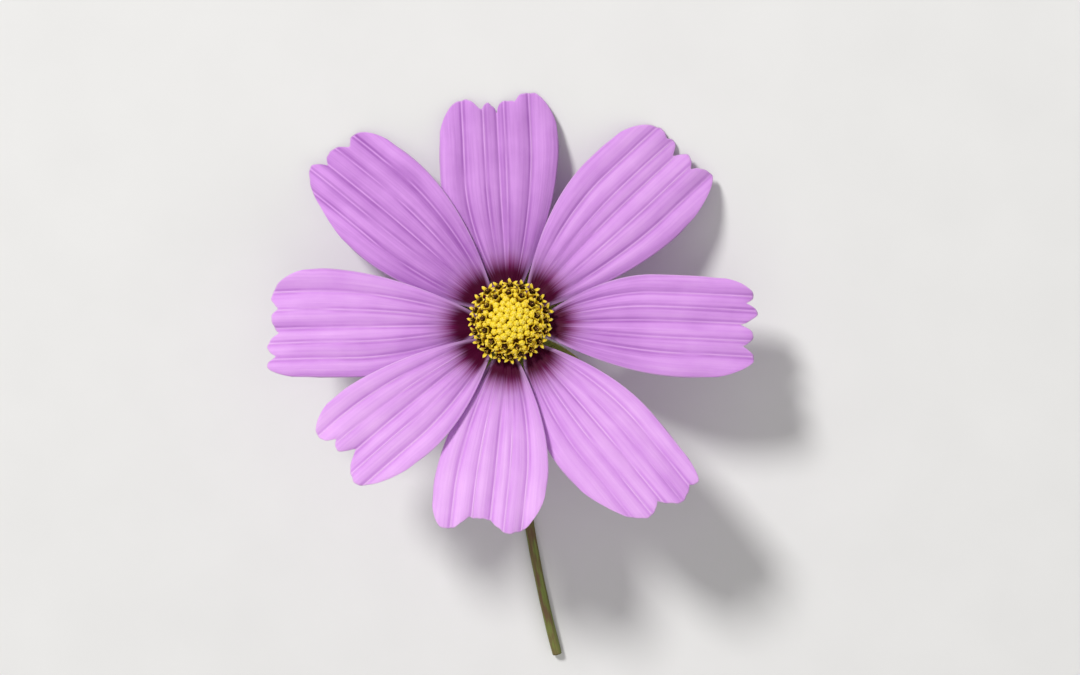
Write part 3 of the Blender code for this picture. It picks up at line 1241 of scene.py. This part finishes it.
class Planter:
    """Sets copies of one small shape on chosen spots with a Geometry Nodes tree."""

    def __init__(self, template: bpy.types.Object, finish: Finish) -> None:
        """Build the tree.

        Args:
            template: The shape, with its tip at its origin and its axis along +Z.
            finish: What the copies are dressed in.
        """
        self.template = template
        tree = bpy.data.node_groups.new(f"plant_{template.name}", "GeometryNodeTree")
        kinds = {"Geometry": "Geometry", "Size": "Float", "Uneven": "Float", "Seed": "Int",
                 "Shape": "Object"}
        self.sockets = {
            name: tree.interface.new_socket(name, in_out="INPUT", socket_type=f"NodeSocket{kind}").identifier
            for name, kind in kinds.items()}
        tree.interface.new_socket("Geometry", in_out="OUTPUT", socket_type="NodeSocketGeometry")
        bench = Bench(tree)
        given = bench.node("NodeGroupInput")
        axis, spin, size = (
            bench.node("GeometryNodeInputNamedAttribute", {"Name": name}, data_type=kind)
            for name, kind in (("axis", "FLOAT_VECTOR"), ("spin", "FLOAT"), ("size", "FLOAT")))
        rise = bench.node("FunctionNodeAlignRotationToVector", {"Vector": axis}, axis="Z")
        own = bench.node("FunctionNodeAxisAngleToRotation", {"Axis": (0.0, 0.0, 1.0), "Angle": spin})
        turn = bench.node("FunctionNodeRotateRotation", {0: rise, 1: own}, rotation_space="LOCAL")
        chance = bench.node("FunctionNodeRandomValue", {"Seed": given.sibling("Seed")}, output=1,
                            data_type="FLOAT")
        scale = size * given.sibling("Size") * (1.0 + (chance - 0.5) * given.sibling("Uneven"))
        shape = bench.node("GeometryNodeObjectInfo", {"Object": given.sibling("Shape")}, output="Geometry")
        copies = bench.node("GeometryNodeInstanceOnPoints", {
            "Points": given, "Instance": shape, "Rotation": turn,
            "Scale": bench.vector(scale, scale, scale)})
        real = bench.node("GeometryNodeRealizeInstances", {"Geometry": copies})
        dressed = bench.node("GeometryNodeSetMaterial", {"Geometry": real, "Material": finish.material()})
        bench.node("NodeGroupOutput", {0: dressed}, output=None)
        self.tree = tree

    def plant(self, name: str, spots: Sequence[Spot], place: Matrix, size: float = 1.0,
              uneven: float = 0.1, seed: int = 1) -> bpy.types.Object:
        """Set the copies and turn them into one plain mesh.

        Args:
            name: The piece's name.
            spots: Where they stand, in the place's own space, in millimetres.
            place: From that space to the world, in metres.
            size: How big the copies are.
            uneven: How much their sizes differ.
            seed: Fixes what is random.

        Returns:
            The piece, at the origin.
        """
        mesh = bpy.data.meshes.new(name)
        mesh.from_pydata([place @ (Vector(spot.tip) * MM) for spot in spots], [], [])
        axes = [place.to_3x3() @ Vector(spot.axis) for spot in spots]
        mesh.attributes.new("axis", "FLOAT_VECTOR", "POINT").data.foreach_set(
            "vector", [number for axis in axes for number in axis])
        for title in ("size", "spin"):
            values = [getattr(spot, title) for spot in spots]
            mesh.attributes.new(title, "FLOAT", "POINT").data.foreach_set("value", values)
        piece = bpy.data.objects.new(name, mesh)
        bpy.context.scene.collection.objects.link(piece)
        grow = piece.modifiers.new("plant", "NODES")
        grow.node_group = self.tree
        for title, value in {"Size": size, "Uneven": uneven, "Seed": seed, "Shape": self.template}.items():
            grow[self.sockets[title]] = value
        frozen(piece)
        piece.data.polygons.foreach_set("use_smooth", [True] * len(piece.data.polygons))
        return piece


@dataclass(frozen=True)
class Level:
    """One ring of a small star-shaped pattern.

    Args:
        radius: Its mean radius.
        height: Its height over the pattern's origin.
        pull: How strongly it is drawn out into points.
        lift: How much higher its points stand than the seams between them.
        shade: 0 for outer tissue, up to 1 deep inside.
    """

    radius: float
    height: float
    pull: float = 0.0
    lift: float = 0.0
    shade: float = 0.0


def pattern(name: str, levels: Sequence[Level], sharp: float = 1.3, columns: int = 20,
            points: int = 5) -> bpy.types.Object:
    """Make a small closed shape for the planter to copy, its axis along +Z.

    Args:
        name: Its name.
        levels: Its rings, from the bottom up and then inwards.
        sharp: Over 1 for narrow points, under 1 for round lobes with sharp seams.
        columns: How many corners a ring has.
        points: How many points or lobes it has.

    Returns:
        The shape, kept out of the scene.
    """
    turn = np.linspace(0.0, 2.0 * np.pi, columns, endpoint=False)
    lobes = np.abs(np.cos(points * turn / 2.0)) ** (2.0 * sharp)
    wide = np.array([level.radius * (1.0 + level.pull * (lobes - lobes.mean())) for level in levels])
    high = np.array([level.height + level.lift * (lobes - 1.0) for level in levels])
    rings = np.stack([wide * np.cos(turn), wide * np.sin(turn), high], axis=-1)
    shade = np.repeat(np.array([[level.shade] for level in levels]), columns, 1)
    seam = np.array([(1.0 - lobes) * min(1.0, abs(level.pull) * 2.0) for level in levels])
    sheet = Sheet(rings, True, {"height": rings[..., 2], "shade": shade, "seam": seam})
    piece = make_piece(name, sheet, Matrix.Identity(4), (), caps=True)
    bpy.context.scene.collection.objects.unlink(piece)
    return piece


OPEN_COROLLA = (
    Level(0.24, -2.9), Level(0.28, -1.9), Level(0.38, -1.0, 0.05), Level(0.47, -0.5, 0.1),
    Level(0.53, -0.2, 0.2), Level(0.59, 0.0, 0.4, 0.05), Level(0.67, 0.12, 0.7, 0.2),
    Level(0.74, 0.22, 0.95, 0.3), Level(0.72, 0.26, 0.95, 0.28), Level(0.62, 0.14, 0.6, 0.18, 0.05),
    Level(0.50, -0.06, 0.2, shade=0.35), Level(0.44, -0.3, 0.05, shade=0.8), Level(0.38, -0.8, shade=1.0),
    Level(0.02, -0.85, shade=1.0))
HALF_OPEN_COROLLA = (
    Level(0.24, -2.9), Level(0.30, -1.9), Level(0.42, -1.0, 0.05), Level(0.50, -0.5, 0.1),
    Level(0.55, -0.2, 0.15), Level(0.58, 0.02, 0.3, 0.1), Level(0.58, 0.2, 0.6, 0.25),
    Level(0.54, 0.22, 0.6, 0.25, 0.05), Level(0.46, 0.0, 0.2, shade=0.4), Level(0.38, -0.3, shade=0.9),
    Level(0.02, -0.35, shade=1.0))
ANTHER_TUBE = (
    Level(0.12, -0.95), Level(0.25, -0.8), Level(0.27, -0.2, 0.06), Level(0.27, 0.2, 0.15),
    Level(0.24, 0.38, 0.5, 0.12), Level(0.15, 0.3, 0.3, shade=0.5), Level(0.02, 0.12, shade=1.0))
CLOSED_BUD = (
    Level(0.22, -1.8), Level(0.34, -1.25, 0.05), Level(0.45, -0.8, 0.08), Level(0.52, -0.45, 0.12),
    Level(0.53, -0.25, 0.16), Level(0.46, -0.08, 0.22, 0.04), Level(0.33, 0.05, 0.3, 0.07),
    Level(0.18, 0.11, 0.35, 0.08), Level(0.07, 0.10, 0.4, 0.06), Level(0.01, 0.06))
POLLEN_GRAIN = (
    Level(0.004, -0.045), Level(0.034, -0.03), Level(0.045, 0.0), Level(0.034, 0.03), Level(0.004, 0.045))


@dataclass(frozen=True)
class Ring:
    """One ring of florets, each on a line from its root to its top.

    Args:
        count: How many there are.
        root_radius: How far their roots are from the head's axis.
        root_height: How high the roots are over the petals' plane.
        top_radius: How far their tops are from the axis.
        top_height: How high those are.
        turn: Where the first stands, in degrees round the head.
    """

    count: int
    root_radius: float
    root_height: float
    top_radius: float
    top_height: float
    turn: float


@dataclass
class Disc:
    """The yellow middle: open florets around a dome of closed buds, with anthers and pollen."""

    rings: tuple[Ring, Ring] = (Ring(20, 3.85, 0.18, 5.75, 2.7, 0.0), Ring(13, 2.9, 0.42, 4.35, 3.45, 9.0))
    late_rings: tuple[Ring, Ring] = (Ring(13, 2.9, 0.4, 4.1, 3.15, 22.8), Ring(20, 3.4, 0.3, 5.0, 2.75, 9.0))
    bud_count: int = 43
    bud_field: float = 3.62
    bud_dome_top: float = 4.55
    bud_dome_fall: float = 0.085
    bud_lean: float = 0.13
    golden_angle: float = 137.508
    grains: int = 11
    stray: float = 0.14
    bud_stray: float = 0.12
    chance: np.random.Generator = field(default_factory=lambda: np.random.default_rng(11))

    def ring_spots(self, ring: Ring, stray: float) -> list[Spot]:
        """Find where one ring's florets open.

        Args:
            ring: The ring.
            stray: How far a floret may lean from its place.

        Returns:
            A spot for each floret, in the head's own space.
        """
        spots = []
        for index in range(ring.count):
            angle = math.radians(ring.turn + 360.0 * index / ring.count)
            out = Vector((math.cos(angle), math.sin(angle), 0.0))
            drift = Vector(self.chance.uniform(-stray, stray, 3))
            root = out * ring.root_radius + Vector((0.0, 0.0, ring.root_height))
            top = out * ring.top_radius + Vector((0.0, 0.0, ring.top_height)) + drift
            size, spin = float(self.chance.uniform(0.9, 1.1)), float(self.chance.uniform(0.0, 1.2))
            spots.append(Spot(tuple(top), tuple((top - root).normalized()), size, angle + spin))
        return spots

    def bud_spots(self) -> list[Spot]:
        """Find where the closed buds stand, by the golden angle.

        Returns:
            A spot for each bud, in the head's own space.
        """
        spots = []
        for index in range(self.bud_count):
            radius = self.bud_field * math.sqrt((index + 0.5) / self.bud_count)
            angle = math.radians(self.golden_angle * index)
            height = self.bud_dome_top - self.bud_dome_fall * radius ** 2
            tip = (radius * math.cos(angle), radius * math.sin(angle), height)
            axis = Vector((tip[0] * self.bud_lean, tip[1] * self.bud_lean, 1.0)).normalized()
            size, spin = float(self.chance.uniform(0.92, 1.06)), float(self.chance.uniform(0.0, 6.0))
            spots.append(Spot(tip, tuple(axis), size, spin))
        return spots

    def grain_spots(self, florets: Sequence[Spot]) -> list[Spot]:
        """Scatter pollen over the anthers and lobes of some florets.

        Args:
            florets: The open florets.

        Returns:
            A spot for each grain.
        """
        spots = []
        for floret in florets:
            axis = Vector(floret.axis)
            for _ in range(int(self.chance.integers(self.grains // 3, self.grains + 1))):
                side = axis.cross(Vector(self.chance.normal(size=3))).normalized()
                place = Vector(floret.tip) + axis * float(self.chance.uniform(0.22, 0.42))
                place += side * float(self.chance.uniform(0.05, 0.34))
                spots.append(Spot(tuple(place), tuple(side), float(self.chance.uniform(0.7, 1.3)), 0.0))
        return spots

    def build(self, head: Head) -> list[bpy.types.Object]:
        """Make the disc in place of its solids.

        Args:
            head: Where the head is.

        Returns:
            The finished pieces.
        """
        place = head.place()
        outer, second = (self.ring_spots(ring, self.stray) for ring in self.rings)
        late = [spot for ring in self.late_rings for spot in self.ring_spots(ring, self.bud_stray)]
        corolla = Planter(pattern("corolla", OPEN_COROLLA, 1.2, 30), COROLLA)
        half_open = Planter(pattern("half_open_corolla", HALF_OPEN_COROLLA, 1.2, 30), COROLLA)
        anther = Planter(pattern("anther_tube", ANTHER_TUBE, 1.0, 15), ANTHER)
        bud = Planter(pattern("closed_bud", CLOSED_BUD, 0.35, 30), BUD_GOLD)
        grain = Planter(pattern("pollen_grain", POLLEN_GRAIN, 1.0, 7), POLLEN)
        names = [f"disc_floret_{number:02d}" for number in range(1, len(outer + second) + 1)]
        grains = self.grain_spots(outer + second)
        return [
            seat(corolla.plant("open_corollas", outer, place, 1.12, 0.14, 3), "floret", *names[:len(outer)]),
            seat(half_open.plant("opening_corollas", second, place, 1.05, 0.14, 5), "floret",
                 *names[len(outer):]),
            seat(anther.plant("anther_tubes", outer + second, place, 1.0, 0.2, 7), "floret"),
            seat(grain.plant("pollen_grains", grains, place, 1.0, 0.3, 13), "floret"),
            seat(bud.plant("closed_buds", self.bud_spots(), place, 1.06, 0.08, 9), "bud", "disc_buds"),
            seat(bud.plant("late_buds", late, place, 0.9, 0.2, 15), "bud"),
        ]


# --------------------------------------------------------------------- stage


class Light(Enum):
    """The studio lights: place from the head, aim, size and power in watts."""

    KEY = ((-0.90, 1.30, 1.38), 0.45, 40.0)
    FILL = ((1.00, -1.10, 1.6), 2.2, 6.0)
    TOP = ((-0.25, 0.0, 2.2), 2.0, 6.0)


@dataclass(frozen=True)
class Studio:
    """A pale floor, soft lights and a camera that looks down on the face."""

    lens: float = 85.0
    distance: float = 395.5
    from_upright: float = 12.0
    right_of_head: float = 4.65
    below_head: float = 2.56
    face_height: float = 2.5
    floor_size: float = 8.0
    sky_light: float = 0.30

    def build(self, head: Head) -> None:
        """Make the floor, the lights and the camera.

        Args:
            head: Where the head is.
        """
        self.build_floor()
        self.build_lights(head)
        self.build_camera(head)
        bpy.context.scene.view_settings.view_transform = "Standard"

    def build_floor(self) -> None:
        """Make the floor."""
        mesh = bpy.data.meshes.new("floor")
        half = self.floor_size / 2.0
        mesh.from_pydata([(-half, -half, 0.0), (half, -half, 0.0), (half, half, 0.0), (-half, half, 0.0)],
                         [], [(0, 1, 2, 3)])
        mesh.materials.append(FloorFinish().material())
        floor = bpy.data.objects.new("floor", mesh)
        bpy.context.scene.collection.objects.link(floor)

    def build_lights(self, head: Head) -> None:
        """Make the lamps and the pale sky.

        Args:
            head: Where the head is.
        """
        for light in Light:
            offset, size, power = light.value
            lamp = bpy.data.lights.new(light.name.lower(), "AREA")
            lamp.shape, lamp.size, lamp.energy = "DISK", size, power
            stand = bpy.data.objects.new(light.name.lower(), lamp)
            stand.location = head.centre + Vector(offset)
            stand.rotation_euler = (-Vector(offset)).to_track_quat("-Z", "Y").to_euler()
            bpy.context.scene.collection.objects.link(stand)
        world = bpy.data.worlds.new("studio")
        world.use_nodes = True
        sky = world.node_tree.nodes["Background"].inputs
        sky["Color"].default_value = (1.0, 1.0, 1.0, 1.0)
        sky["Strength"].default_value = self.sky_light
        bpy.context.scene.world = world

    def build_camera(self, head: Head) -> None:
        """Make the camera, which looks down on the face.

        Args:
            head: Where the head is.
        """
        lean = math.radians(self.from_upright)
        back = Vector((0.0, math.sin(lean), math.cos(lean)))
        up = Vector((0.0, math.cos(lean), -math.sin(lean)))
        right = Vector((1.0, 0.0, 0.0))
        aim = head.centre + head.facing * self.face_height * MM
        aim = aim + right * self.right_of_head * MM - up * self.below_head * MM
        lens = bpy.data.cameras.new("camera")
        lens.lens = self.lens
        lens.sensor_width = 36.0
        lens.dof.use_dof = False
        camera = bpy.data.objects.new("camera", lens)
        turn = Matrix((right, up, back)).transposed().to_4x4()
        camera.matrix_world = Matrix.Translation(aim + back * self.distance * MM) @ turn
        bpy.context.scene.collection.objects.link(camera)
        bpy.context.scene.camera = camera


def main() -> None:
    """Build every piece of the flower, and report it."""
    logging.basicConfig(level=logging.INFO, format="%(message)s")
    head = Head()
    for petal in PETALS:
        petal.build(head)
        INNER.build(head, petal.number, petal.angle)
    angles = [petal.angle for petal in PETALS] + [PETALS[0].angle + 360.0]
    for number, (here, beyond) in enumerate(zip(angles, angles[1:]), 1):
        OUTER.build(head, number, (here + beyond) / 2.0)
    Receptacle().build(head)
    Stem().build(head)
    Disc().build(head)
    Studio().build(head)


if __name__ == "__main__":
    main()
